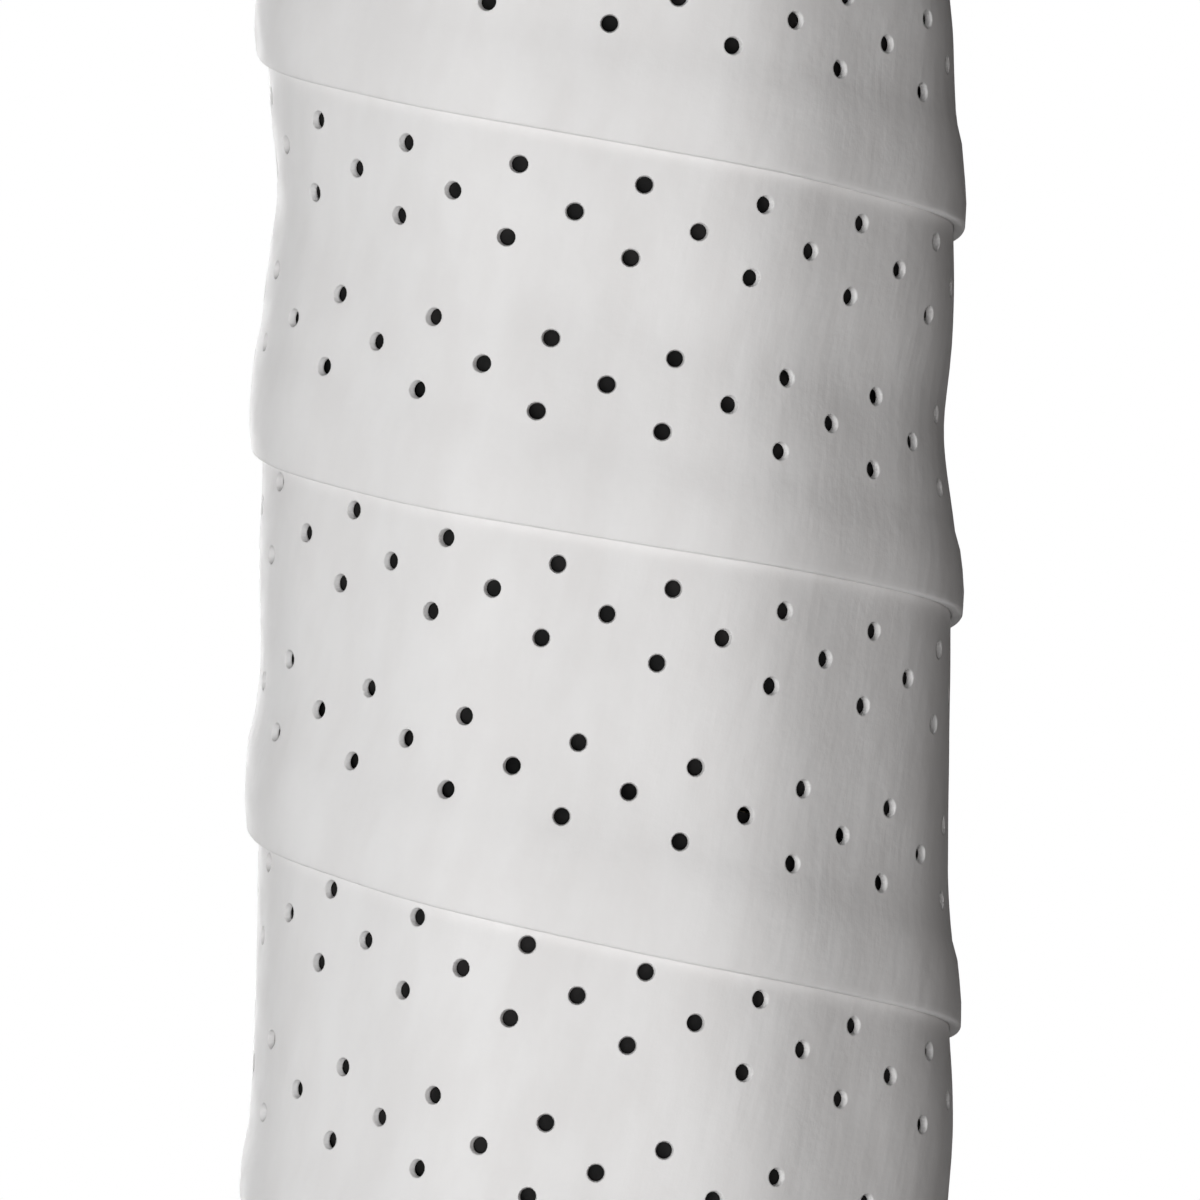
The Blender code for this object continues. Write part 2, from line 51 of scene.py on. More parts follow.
# Core octagons: half width, half depth, half length of the front flat and half length of the side flat.
HANDLE_CORE = (13.2, 11.1, 5.83, 3.73)
ROUNDING = 5.0
FLAT_LOSS = ROUNDING * math.tan(math.radians(22.5))
WRAP_CORE = tuple(np.array(HANDLE_CORE) - (ROUNDING, ROUNDING, FLAT_LOSS, FLAT_LOSS))
SHAFT_CORE = (7.0, 3.3, 6.5, 2.83)
TAPE_OUTER = 5.0
FLARE_DEPTH, FLARE_TOP, FLARE_POWER = 4.0, 32.0, 2.2
GRIP_BOTTOM = 4.8
TAPE_TOP = 184.0
END_WIDTH = 6.0

TAPE_WIDTH = 25.0
TAPE_THICKNESS = 0.6
TAPE_PITCH = 20.9
FIRST_EDGE = -10.4

BASE_WIDTH = 23.6
BASE_PITCH = 24.4
BASE_START = -0.045
BASE_TOP = 186.0

# ---- Sizes that only the looks have ----

STRETCHED_THICKNESS = 0.4
SKIVED_OFF = 0.2
EDGE_RADIUS = 0.15
BASE_INNER = 2.55

# ---- How the tape really lies: listed by turns up the handle ----

# Height that the tape is above its even winding.
DRIFT = (
    (1.5, -0.4), (1.8, -0.4), (2.2, 0.8), (2.7, 0.8), (2.8, 0.1), (2.95, -0.5), (3.05, -0.3), (3.5, 1.2),
    (3.7, 1.7), (3.8, 1.1), (3.95, 0.2), (4.1, -0.4), (4.2, -0.5), (4.5, 0.0), (4.7, 1.5), (4.8, 0.5),
    (5.2, -0.6), (5.6, 0.3),
)
# Distance that its perforations are ahead of an even spacing, where it was pulled more or less.
SLIP = (
    (0.0, 1.0), (1.5, 1.8), (1.9, 1.8), (2.2, 0.7), (2.5, 0.4), (2.95, 0.3), (3.1, -0.6), (3.4, 0.1),
    (3.9, 1.6), (4.0, 1.7), (4.2, 2.7), (4.8, 4.2), (4.9, 4.6), (5.3, 4.7), (9.0, 6.0),
)
# Shear, by which the upper perforations run ahead of the lower ones, and change of width, both per width.
SHEAR = (
    (1.5, -0.05), (2.1, -0.05), (2.9, -0.01), (3.1, -0.05), (3.3, -0.05), (3.9, 0.02), (4.1, 0.02),
    (4.3, 0.0),
)
SPREAD = (
    (1.5, 0.01), (3.3, 0.01), (3.9, -0.02), (4.1, -0.02), (4.4, -0.01), (5.0, -0.01), (5.5, 0.0),
)
# Places where what lies under the tape is fuller or hollower: share of a turn, height, reach and rise.
UNEVEN = (
    (0.75, 42.5, 5.0, 0.5), (0.25, 43.5, 5.0, 0.25), (0.75, 95.0, 5.0, -0.28), (0.25, 94.5, 4.0, -0.15),
    (0.25, 69.0, 6.0, 0.15), (0.75, 55.0, 4.0, 0.12),
)
UNEVEN_REACH_ROUND = 0.09

# Sink where the base grip's edges meet, low and high on the handle, its reach, and the swell between.
GROOVE_DEPTHS = (0.1, 0.52)
GROOVE_REACH = 3.3
SWELL = 0.12
# Rise over the edge of the turn below, more at that edge, sink at the tape's own edge, rise over the tab.
BRIDGE_RISE = 0.54
CREASE_RISE = 0.2
PRESSED_DEPTH = 0.1
TAB_RISE = 0.3

# Two bands of three rows of perforations, by their place across the tape.
ROW_HEIGHTS = (6.1, 8.1, 10.05, 14.95, 16.9, 18.9)
HOLE_RADIUS = 0.5
HOLE_TAPER = 0.06
HOLE_BLOCK = 0.75
HOLES_PER_TURN = 17


# ---- Handle outline ----


def core_corners(core):
    """Corners of a core octagon, clockwise from above, starting left of the front flat's middle."""
    half_width, half_depth, flat_x, flat_y = core
    quarter = [(flat_x, half_depth), (half_width, flat_y)]
    left = [(-x, -y) for x, y in quarter] + [(-x, y) for x, y in reversed(quarter)]
    return np.array(left + [(-x, -y) for x, y in left])


def octagon(core, offset, steps=8):
    """Points of a core octagon's offset, with round corners."""
    points = []
    for index, corner in enumerate(core_corners(core)):
        for step in range(steps + 1):
            angle = math.radians(-90 - 45 * (index + step / steps))
            points.append(corner + offset * np.array((math.cos(angle), math.sin(angle))))
    return np.array(points)


class Outline:
    """Plan of the tape's outer surface, softened at the corners, against the distance clockwise.

    The distance starts at the middle of the front flat.
    """

    samples = 2880
    softening = 2.0

    def __init__(self):
        points = octagon(WRAP_CORE, TAPE_OUTER + ROUNDING, 24)
        points = np.vstack((points, points[:1]))
        run = np.concatenate(([0], np.cumsum(np.hypot(*np.diff(points, axis=0).T))))
        self.length = run[-1]
        distance = (np.arange(self.samples) / self.samples * self.length - WRAP_CORE[2]) % self.length
        shape = [np.interp(distance, run, points[:, axis]) for axis in (0, 1)]
        waves = np.fft.fftfreq(self.samples, d=self.length / self.samples)
        blur = np.exp(-2 * (math.pi * waves * self.softening) ** 2)
        self.points = np.stack([np.fft.ifft(np.fft.fft(axis) * blur).real for axis in shape], axis=1)
        along = np.roll(self.points, -1, axis=0) - np.roll(self.points, 1, axis=0)
        outward = np.stack((-along[:, 1], along[:, 0]), axis=1)
        self.normals = outward / np.hypot(*outward.T)[:, None]

    def at(self, distance, offset):
        """Plan positions at distances round the handle, at offsets from the handle's core."""
        place = np.asarray(distance, float) / self.length * self.samples % self.samples
        low = np.floor(place).astype(int) % self.samples
        share = (place - np.floor(place))[..., None]
        high = (low + 1) % self.samples
        point = self.points[low] * (1 - share) + self.points[high] * share
        normal = self.normals[low] * (1 - share) + self.normals[high] * share
        return point + normal * (np.asarray(offset, float) - TAPE_OUTER)[..., None]


OUTLINE = Outline()
TURN = OUTLINE.length
SLOPE = math.atan(TAPE_PITCH / TURN)
COS, SIN = math.cos(SLOPE), math.sin(SLOPE)
STRIP_HEIGHT = TAPE_WIDTH / COS
BASE_STRIP_HEIGHT = BASE_WIDTH / math.cos(math.atan(BASE_PITCH / TURN))
STEP = TURN / COS / HOLES_PER_TURN / 2
TAPE_FIRST = (GRIP_BOTTOM + END_WIDTH - STRIP_HEIGHT - FIRST_EDGE) / TAPE_PITCH
TAPE_LAST = (TAPE_TOP - END_WIDTH - FIRST_EDGE) / TAPE_PITCH


def smooth(low, high, value):
    """0 below low, 1 above high, and an even curve between."""
    share = np.clip((value - low) / (high - low), 0, 1)
    return share * share * (3 - 2 * share)


def curve(points, value):
    """Soft curve through listed points."""
    places, heights = np.array(points).T
    spread = np.array((-0.06, -0.03, 0, 0.03, 0.06))
    weights = np.array((1, 3, 4, 3, 1)) / 12
    return sum(w * np.interp(value + d, places, heights) for w, d in zip(weights, spread))


def lumps(position, size, seed):
    """Smooth noise from -1 to 1 at positions in millimetres."""
    shift = Vector((seed * 7.3, seed * 3.1, seed * 5.7))
    return np.array([noise.noise(Vector(p) / size + shift) for p in position])


# ---- Surfaces on the unrolled handle ----


def flare(height):
    return FLARE_DEPTH * np.clip(1 - height / FLARE_TOP, 0, 1) ** FLARE_POWER


def base_edge(turns):
    """Height of the base grip strip's lower edge."""
    return GRIP_BOTTOM + END_WIDTH - BASE_STRIP_HEIGHT + (turns - BASE_START) * BASE_PITCH


def ground(distance, height):
    """Offset of the tape's outer side where it is one layer thick, over the uneven base grip.

    It sinks where the base grip's edges meet, more so up the handle, and is even near both ends.
    """
    turns = distance / TURN
    from_joint = (height - base_edge(turns)) / BASE_PITCH
    from_joint = (from_joint - np.round(from_joint)) * BASE_PITCH
    low, high = GROOVE_DEPTHS
    depth = low + (high - low) * smooth(60, 84, height)
    groove = depth * np.exp(-((from_joint / GROOVE_REACH) ** 2))
    position = np.column_stack((OUTLINE.at(distance, np.full(np.shape(distance), TAPE_OUTER)), height))
    uneven = 0.06 * lumps(position, 11.0, 1) + 0.035 * lumps(position, 4.2, 2)
    for share, middle, reach, rise in UNEVEN:
        away = ((turns - share + 0.5) % 1 - 0.5) / UNEVEN_REACH_ROUND
        uneven = uneven + rise * np.exp(-(away**2) - ((height - middle) / reach) ** 2)
    free = smooth(14, 34, height) * (1 - smooth(160, 172, height))
    return TAPE_OUTER + flare(height) + free * (SWELL - groove + uneven)


def drift(turns):
    """Height above the even winding, which both ends of the tape keep to."""
    free = smooth(0.9, 1.4, turns) * (1 - smooth(6.6, 7.4, turns))
    return curve(DRIFT, turns) * free


def lap_lift(turns, across):
    """Rise of the tape's outer side over the edge of the turn below it.

    The tape bridges that edge softly, creases a little at it, and is pressed down at its own edge.
    """
    past = across - (STRIP_HEIGHT - TAPE_PITCH) * COS + (drift(turns) - drift(turns - 1)) * COS
    bridge = BRIDGE_RISE * (1 - smooth(-3.6, 4.6, past))
    crease = CREASE_RISE * (1 - smooth(-0.5, 0.9, past))
    pressed = PRESSED_DEPTH * (1 - smooth(0.0, 1.2, across))
    has_lap = smooth(0.82, 0.88, turns - TAPE_FIRST)
    return has_lap * (bridge + crease - pressed)


def tab_lift(turns, height):
    """Rise over the starter tab, which lies ahead of the tape's first edge."""
    wound = turns - TAPE_FIRST
    over_tab = smooth(0.82, 0.87, wound) * (1 - smooth(1.0, 1.1, wound))
    return TAB_RISE * over_tab * (1 - smooth(10.6, 13.0, height))


def tape_thickness(across):
    """Full at the lapping edge, pulled thinner in the middle, and skived at the edge that is covered."""
    pulled = (TAPE_THICKNESS - STRETCHED_THICKNESS) * smooth(4.8, 5.3, across)
    skived = SKIVED_OFF * smooth(TAPE_PITCH * COS + 0.2, TAPE_WIDTH, across)
    return TAPE_THICKNESS - pulled - skived


def tape_surface(along, across, inside):
    """3D points of the tape, in metres, from its own flat coordinates."""
    turns = (along * COS - across * SIN) / TURN
    creep = curve(SLIP, turns) + curve(SHEAR, turns) * (across - TAPE_WIDTH / 2)
    distance = (along + creep) * COS - across * SIN
    turns = distance / TURN
    height = FIRST_EDGE + (along + creep) * SIN + across * COS
    height = height + drift(turns) + curve(SPREAD, turns) * across
    offset = ground(distance, height) + lap_lift(turns, across) + tab_lift(turns, height)
    from_edge = np.clip(EDGE_RADIUS - np.minimum(across, TAPE_WIDTH - across), 0, EDGE_RADIUS)
    rounding = EDGE_RADIUS - np.sqrt(EDGE_RADIUS**2 - from_edge**2)
    depth = np.where(inside, tape_thickness(across), rounding)
    return np.column_stack((OUTLINE.at(distance, offset - depth), height)) * MM


# ---- Mesh tools ----


def new_object(name, mesh):
    made = bpy.data.objects.new(name, mesh)
    bpy.context.scene.collection.objects.link(made)
    return made


def mesh_object(name, points, faces, sharp=35):
    """Smooth-shaded object from points in metres, with edges left sharp above that many degrees."""
    mesh = bpy.data.meshes.new(name)
    mesh.from_pydata([tuple(p) for p in points], [], faces)
    bm = bmesh.new()
    bm.from_mesh(mesh)
    bmesh.ops.recalc_face_normals(bm, faces=bm.faces)
    bm.to_mesh(mesh)
    bm.free()
    mesh.shade_smooth()
    mesh.set_sharp_from_angle(angle=math.radians(sharp))
    return new_object(name, mesh)


def band(low, high, count):
    """Quads between two rings of points that start at the indices low and high."""
    steps = [(index, (index + 1) % count) for index in range(count)]
    return [(low + index, low + after, high + after, high + index) for index, after in steps]


def loft(name, rings, sharp=35):
    """Closed skin through rings of equally many points in millimetres, the last joined to the first."""
    count = len(rings[0])
    starts = [row * count for row in range(len(rings))]
    faces = []
    for low, high in zip(starts, starts[1:] + starts[:1]):
        faces += band(low, high, count)
    return mesh_object(name, np.vstack(rings) * MM, faces, sharp)


def level(outline, height):
    return np.column_stack((outline, np.full(len(outline), height)))


def strip(name, sections):
    """Closed strip through sections of equally many points in metres, capped at both ends."""
    count = len(sections[0])
    faces = []
    for row in range(len(sections) - 1):
        faces += band(row * count, (row + 1) * count, count)
    for start in (0, (len(sections) - 1) * count):
        end = start + count - 1
        for index in range(count // 2 - 1):
            faces.append((start + index, start + index + 1, end - index - 1, end - index))
    return mesh_object(name, np.vstack(sections), faces)


# ---- Perforated tape ----

# Mesh rows across the tape below, between and above the bands of perforations. False is the outer side.
LOWER_ROWS = {False: (0, 0.04, 0.12, 0.4, 1.3, 2.4, 3.4, 4.4, 5.35), True: (0, 0.4, 2.4, 5.35)}
MIDDLE_ROWS = {False: (11.9, 13.1), True: ()}
UPPER_ROWS = {False: (20.5, 21.6, 22.8, 24.0, 25.0), True: (22.3, 25.0)}
COLUMNS_PER_STEP = {False: 4, True: 3}
RIM_POINTS = 16
TRIM_CLEARANCE = 1.2


def row_places(inside):
    """Across-coordinates of the mesh rows: the hole blocks' edges and middles, and rows between them."""
    rows = list(LOWER_ROWS[inside])
    for index, middle in enumerate(ROW_HEIGHTS):
        if index:
            rows.append(middle - HOLE_BLOCK)
        rows += [middle, middle + HOLE_BLOCK]
        if index == 2:
            rows += MIDDLE_ROWS[inside]
    return rows + list(UPPER_ROWS[inside])


def column_places(first, last, inside):
    """Along-coordinates of the mesh columns; a hole block lies round each multiple of a step."""
    within = (-HOLE_BLOCK, 0, HOLE_BLOCK, STEP / 2)[: COLUMNS_PER_STEP[inside]]
    places = [step * STEP + place for step in range(first, last) for place in within]
    return places if inside else places[:-1]


def hole_places(first, last):
    """(step, row) of each perforation that is clear of the trimmed edges; the rows are staggered."""
    rows = range(len(ROW_HEIGHTS))
    places = [(step, row) for step in range(first + 1, last - 1) for row in rows if (step + row) % 2]
    along = np.array([step * STEP for step, row in places])
    across = np.array([ROW_HEIGHTS[row] for step, row in places])
    heights = tape_surface(along, across, np.zeros(len(places), bool))[:, 2] / MM
    low, high = GRIP_BOTTOM + TRIM_CLEARANCE, TAPE_TOP - TRIM_CLEARANCE
    return [place for place, height in zip(places, heights) if low < height < high]


class TapeMesh:
    """Collects points in flat tape coordinates, and the faces between them."""

    def __init__(self, first, last):
        self.first, self.last = first, last
        self.points, self.faces = [], []
        self.holes = hole_places(first, last)
        outer, outer_rims = self.side(False)
        inner, inner_rims = self.side(True)
        for place, rim in outer_rims.items():
            self.wall(rim, inner_rims[place])
        for end in (0, -1):
            self.long_edge([column[end] for column in outer], [column[end] for column in inner])
            self.faces.append((*outer[end], *reversed(inner[end])))

    def add(self, along, across, inside):
        self.points.append((along, across, inside))
        return len(self.points) - 1

    def side(self, inside):
        """One side of the tape as a grid with round openings. Returns the grid and the openings' rims."""
        columns, rows = column_places(self.first, self.last, inside), row_places(inside)
        grid = [[self.add(along, across, inside) for across in rows] for along in columns]
        open_cells, rims = set(), {}
        radius = HOLE_RADIUS - HOLE_TAPER * inside
        ring = ((2, 1), (2, 2), (1, 2), (0, 2), (0, 1), (0, 0), (1, 0), (2, 0))
        for step, row in self.holes:
            column = (step - self.first) * COLUMNS_PER_STEP[inside]
            bottom = rows.index(ROW_HEIGHTS[row]) - 1
            border = [grid[column + x][bottom + y] for x, y in ring]
            rim = []
            for index in range(RIM_POINTS):
                angle = 2 * math.pi * index / RIM_POINTS
                along = step * STEP + radius * math.cos(angle)
                rim.append(self.add(along, ROW_HEIGHTS[row] + radius * math.sin(angle), inside))
            for index in range(len(ring)):
                after = (index + 1) % len(ring)
                arc = (rim[2 * after], rim[2 * index + 1], rim[2 * index])
                self.faces.append((border[index], border[after], *arc))
            open_cells.update((column + x, bottom + y) for x in (0, 1) for y in (0, 1))
            rims[step, row] = rim
        for i in range(len(columns) - 1):
            for j in range(len(rows) - 1):
                if (i, j) not in open_cells:
                    self.faces.append((grid[i][j], grid[i + 1][j], grid[i + 1][j + 1], grid[i][j + 1]))
        return grid, rims

    def wall(self, outer, inner):
        """The wall of one perforation, between its two rims."""
        for index in range(RIM_POINTS):
            after = (index + 1) % RIM_POINTS
            self.faces.append((outer[index], outer[after], inner[after], inner[index]))

    def long_edge(self, outer, inner):
        """The narrow side of the tape, from the outer side's columns to the fewer inner ones."""
        for step in range(self.last - self.first):
            out, low = outer[4 * step : 4 * step + 5], inner[3 * step : 3 * step + 4]
            self.faces.append((out[0], out[1], low[1], low[0]))
            self.faces.append((out[1], out[2], low[2], low[1]))
            if len(out) == 5:
                self.faces.append((out[2], out[3], out[4], low[3], low[2]))


def trim(bm, height, keep_above):
    """Cuts a closed mesh off at a height, and closes it there."""
    everything = [*bm.verts, *bm.edges, *bm.faces]
    direction = (0, 0, -1 if keep_above else 1)
    cut = bmesh.ops.bisect_plane(
        bm, geom=everything, plane_co=(0, 0, height), plane_no=direction, clear_outer=True, dist=1e-7
    )
    edges = [item for item in cut["geom_cut"] if isinstance(item, bmesh.types.BMEdge)]
    caps = bmesh.ops.holes_fill(bm, edges=edges, sides=0)["faces"]
    bmesh.ops.triangulate(bm, faces=caps)


def overgrip():
    """The perforated tape, wound from the butt up and trimmed level at both ends."""
    first = math.floor(TAPE_FIRST * TURN / COS / STEP) - 1
    last = math.ceil(TAPE_LAST * TURN / COS / STEP) + 3
    tape = TapeMesh(first, last)
    along, across, inside = np.array(tape.points, float).T
    mesh = bpy.data.meshes.new("overgrip_tape")
    mesh.from_pydata(tape_surface(along, across, inside > 0.5), [], tape.faces)
    flat = mesh.attributes.new("flat", "FLOAT_VECTOR", "POINT")
    flat.data.foreach_set("vector", (np.column_stack((along, across, inside)) * MM).ravel())
    bm = bmesh.new()
    bm.from_mesh(mesh)
    loose = [vert for vert in bm.verts if not vert.link_faces]
    bmesh.ops.delete(bm, geom=loose, context="VERTS")
    trim(bm, GRIP_BOTTOM * MM, keep_above=True)
    trim(bm, TAPE_TOP * MM, keep_above=False)
    bmesh.ops.recalc_face_normals(bm, faces=bm.faces)
    bm.to_mesh(mesh)
    bm.free()
    mesh.shade_smooth()
    mesh.set_sharp_from_angle(angle=math.radians(40))
    return new_object("overgrip_tape", mesh)


# ---- Base grip and films ----

SECTIONS_PER_TURN = 96
LAYER_GAP = 0.05
BASE_SQUEEZE = 1.0
BASE_ROUNDING = 0.4
FILM_LAP = 0.09
FILM_THICKNESS = 0.12
FILM_GAP = 0.02
FILM_SECTIONS = 180
FILM_RIPPLE = 0.009
# Each film's inner side, as heights and offsets from the core.
TAPE_FILM_PROFILE = ((177, 5.99), (184.6, 5.99), (187.6, 4.3), (190.5, 4.3))
BASE_FILM_PROFILE = ((176, 3.6), (190, 3.6))


def handle_distance(points):
    """Distance of plan positions from the handle's core octagon."""
    corners = core_corners(HANDLE_CORE)
    nearest = np.full(len(points), np.inf)
    for start, end in zip(corners, np.roll(corners, -1, axis=0)):
        run = end - start
        share = np.clip((points - start) @ run / (run @ run), 0, 1)
        nearest = np.minimum(nearest, np.hypot(*(points - start - share[:, None] * run).T))
    return nearest


def close_to_handle(distance, wanted):
    """Plan positions on the wrap's normals that are as far from the handle's core as wanted."""
    offset = np.array(wanted, float)
    for _ in range(3):
        offset += wanted - handle_distance(OUTLINE.at(distance, offset))
    return OUTLINE.at(distance, offset)


def base_grip():
    """Cushioned strip under the tape, with rounded edges, its turns laid edge to edge."""
    turn_count = (BASE_TOP - END_WIDTH - base_edge(BASE_START)) / BASE_PITCH
    shares = np.array((0, 0.02, 0.05, 0.1, 0.2, 0.35, 0.5, 0.65, 0.8, 0.9, 0.95, 0.98, 1.0))
    sections = []
    for turns in np.linspace(BASE_START, BASE_START + turn_count, int(turn_count * SECTIONS_PER_TURN)):
        low = max(base_edge(turns), GRIP_BOTTOM)
        high = min(base_edge(turns) + BASE_STRIP_HEIGHT, BASE_TOP)
        heights = low + (high - low) * shares
        distance = np.full(len(heights), turns * TURN)
        from_edge = np.minimum(heights - low, high - heights)
        under_film = BASE_SQUEEZE * smooth(170, 174, heights)
        rounding = BASE_ROUNDING * (1 - smooth(0.0, 1.3, from_edge))
        outer = ground(distance, heights) - STRETCHED_THICKNESS - LAYER_GAP - under_film - rounding
        inside = np.column_stack((close_to_handle(distance, BASE_INNER + flare(heights)), heights))
        outside = np.column_stack((OUTLINE.at(distance, outer), heights))[::-1]
        sections.append(np.vstack((inside, outside)) * MM)
    return strip("base_grip_cushion", sections)


def film(name, profile, start):
    """Adhesive film wound a little over one turn, its square-cut end lying over its start."""
    heights, offsets = np.array(profile).T
    fine = np.linspace(heights[0], heights[-1], 22)
    from_edge = np.minimum(fine - fine[0], fine[-1] - fine)
    sections = []
    for turns in np.linspace(start, start + 1 + FILM_LAP, FILM_SECTIONS):
        over_start = smooth(start + 0.98, start + 1.0, turns)
        inner = np.interp(fine, heights, offsets) + (FILM_THICKNESS + FILM_GAP) * over_start
        ripple = FILM_RIPPLE * np.sin(fine * 1.3 + 9 * turns) * smooth(0, 2, from_edge)
        outer = inner + FILM_THICKNESS + ripple
        distance = np.full(len(fine), turns * TURN)
        inside = np.column_stack((OUTLINE.at(distance, inner), fine))
        outside = np.column_stack((OUTLINE.at(distance, outer), fine))[::-1]
        sections.append(np.vstack((inside, outside)) * MM)
    return strip(name, sections)


# ---- Collar and shaft ----

COLLAR_POINTS = 128
# The collar from its lower edge, as heights and offsets from the wrap's core, or for the neck the shaft's.
# A groove's heights are from its own middle.
SKIRT_EDGE = (
    (181.0, 7.15), (181.1, 7.55), (181.35, 7.82), (181.8, 7.9), (182.3, 7.9), (182.7, 7.78), (183.0, 7.5),
)
GROOVES = (184.6, 186.2, 187.8)
GROOVE = ((-0.6, 7.52), (-0.35, 7.48), (-0.2, 7.26), (0, 7.18), (0.2, 7.26), (0.35, 7.46))
SKIRT_TOP = ((188.6, 7.48), (189.6, 7.36), (190.8, 7.12), (191.9, 6.7), (192.8, 6.2), (193.5, 5.7))
NECK = (
    (197.2, 7.3), (198.5, 7.05), (200, 6.72), (201.2, 6.45), (201.6, 6.42), (202.0, 6.62), (202.5, 6.78),
    (203.1, 6.78), (203.6, 6.55), (203.9, 6.1), (204, 5.6), (203.9, 5.15), (203.6, 5.0), (197.5, 5.0),
)
LINING = ((193, 4.6), (190, 5.9), (187.6, 6.6), (181.4, 6.6), (181.1, 6.7))

TUBE_WIDTH, TUBE_DEPTH, TUBE_WALL, TUBE_SPACING = 11.4, 16.0, 1.4, 12.0
TUBE_OUTER_RADIUS, TUBE_INNER_RADIUS = 5.5, 2.0
SHAFT_BOTTOM, SHAFT_TOP = 11.0, 246.0
BROKEN_EDGE = 0.15


def wrap_ring(offset):
    """Ring round the wrapped handle, clockwise from the middle of the front flat."""
    distance = np.arange(COLLAR_POINTS) / COLLAR_POINTS * TURN
    return OUTLINE.at(distance, np.full(COLLAR_POINTS, float(offset)))


def neck_ring(offset):
    """Ring round both shaft tubes, its points spread like the wrap ring's."""
    outline = octagon(SHAFT_CORE, offset, 12)
    angles = np.unwrap(np.arctan2(outline[:, 1], outline[:, 0]))
    wanted = np.unwrap(np.arctan2(*wrap_ring(5.0).T[::-1]))
    turns = np.concatenate((angles + 2 * math.pi, angles, angles - 2 * math.pi))
    points = np.vstack((outline, outline, outline))
    order = np.argsort(turns)
    return np.column_stack([np.interp(wanted, turns[order], points[order, axis]) for axis in (0, 1)])


def shoulder(low, high, steps):
    """Rings that blend from (height, wrap offset) to (height, neck offset)."""
    start, end = wrap_ring(low[1]), neck_ring(high[1])
    rings = []
    for step in range(1, steps):
        share = step / steps
        height = low[0] + (high[0] - low[0]) * share
        rings.append(level(start + (end - start) * smooth(0, 1, share), height))
    return rings


def collar():
    """Moulded rubber sleeve: a beaded skirt with shallow grooves, a shoulder, and a neck on the shaft."""
    grooves = [(middle + height, offset) for middle in GROOVES for height, offset in GROOVE]
    skirt = [*SKIRT_EDGE, *grooves, *SKIRT_TOP]
    rings = [level(wrap_ring(offset), height) for height, offset in skirt]
    rings += shoulder(SKIRT_TOP[-1], NECK[0], 7)
    rings += [level(neck_ring(offset), height) for height, offset in NECK]
    rings += shoulder(LINING[0], NECK[-1], 5)[::-1]
    rings += [level(wrap_ring(offset), height) for height, offset in LINING]
    return loft("rubber_collar_sleeve", rings, sharp=50)


def tube_outline(side, growth):
    """D-shaped plan of a tube, well rounded on its outer side, grown or shrunk by an offset."""
    half_x, half_y = TUBE_WIDTH / 2 + growth, TUBE_DEPTH / 2 + growth
    points = []
    for quadrant, (towards_x, towards_y) in enumerate(((1, 1), (-1, 1), (-1, -1), (1, -1))):
        radius = growth + (TUBE_OUTER_RADIUS if towards_x == side else TUBE_INNER_RADIUS)
        for step in range(13):
            angle = math.radians(90 * (quadrant + step / 12))
            x = side * TUBE_SPACING / 2 + towards_x * (half_x - radius) + radius * math.cos(angle)
            points.append((x, towards_y * (half_y - radius) + radius * math.sin(angle)))
    return np.array(points)


def shaft_tube(side, name):
    """Carbon tube, its cut top end very slightly broken at the edges."""
    profile = (
        (SHAFT_BOTTOM, 0.0),
        (SHAFT_TOP - BROKEN_EDGE, 0.0),
        (SHAFT_TOP, -BROKEN_EDGE),
        (SHAFT_TOP, BROKEN_EDGE - TUBE_WALL),
        (SHAFT_TOP - BROKEN_EDGE, -TUBE_WALL),
        (SHAFT_BOTTOM, -TUBE_WALL),
    )
    return loft(name, [level(tube_outline(side, growth), height) for height, growth in profile])


# ---- Materials ----

# Sockets of the Mix node that carry a colour: the share, the two colours, and the result.
MIX_COLOUR_INPUTS = (0, 6, 7)
MIX_COLOUR_OUTPUT = 2


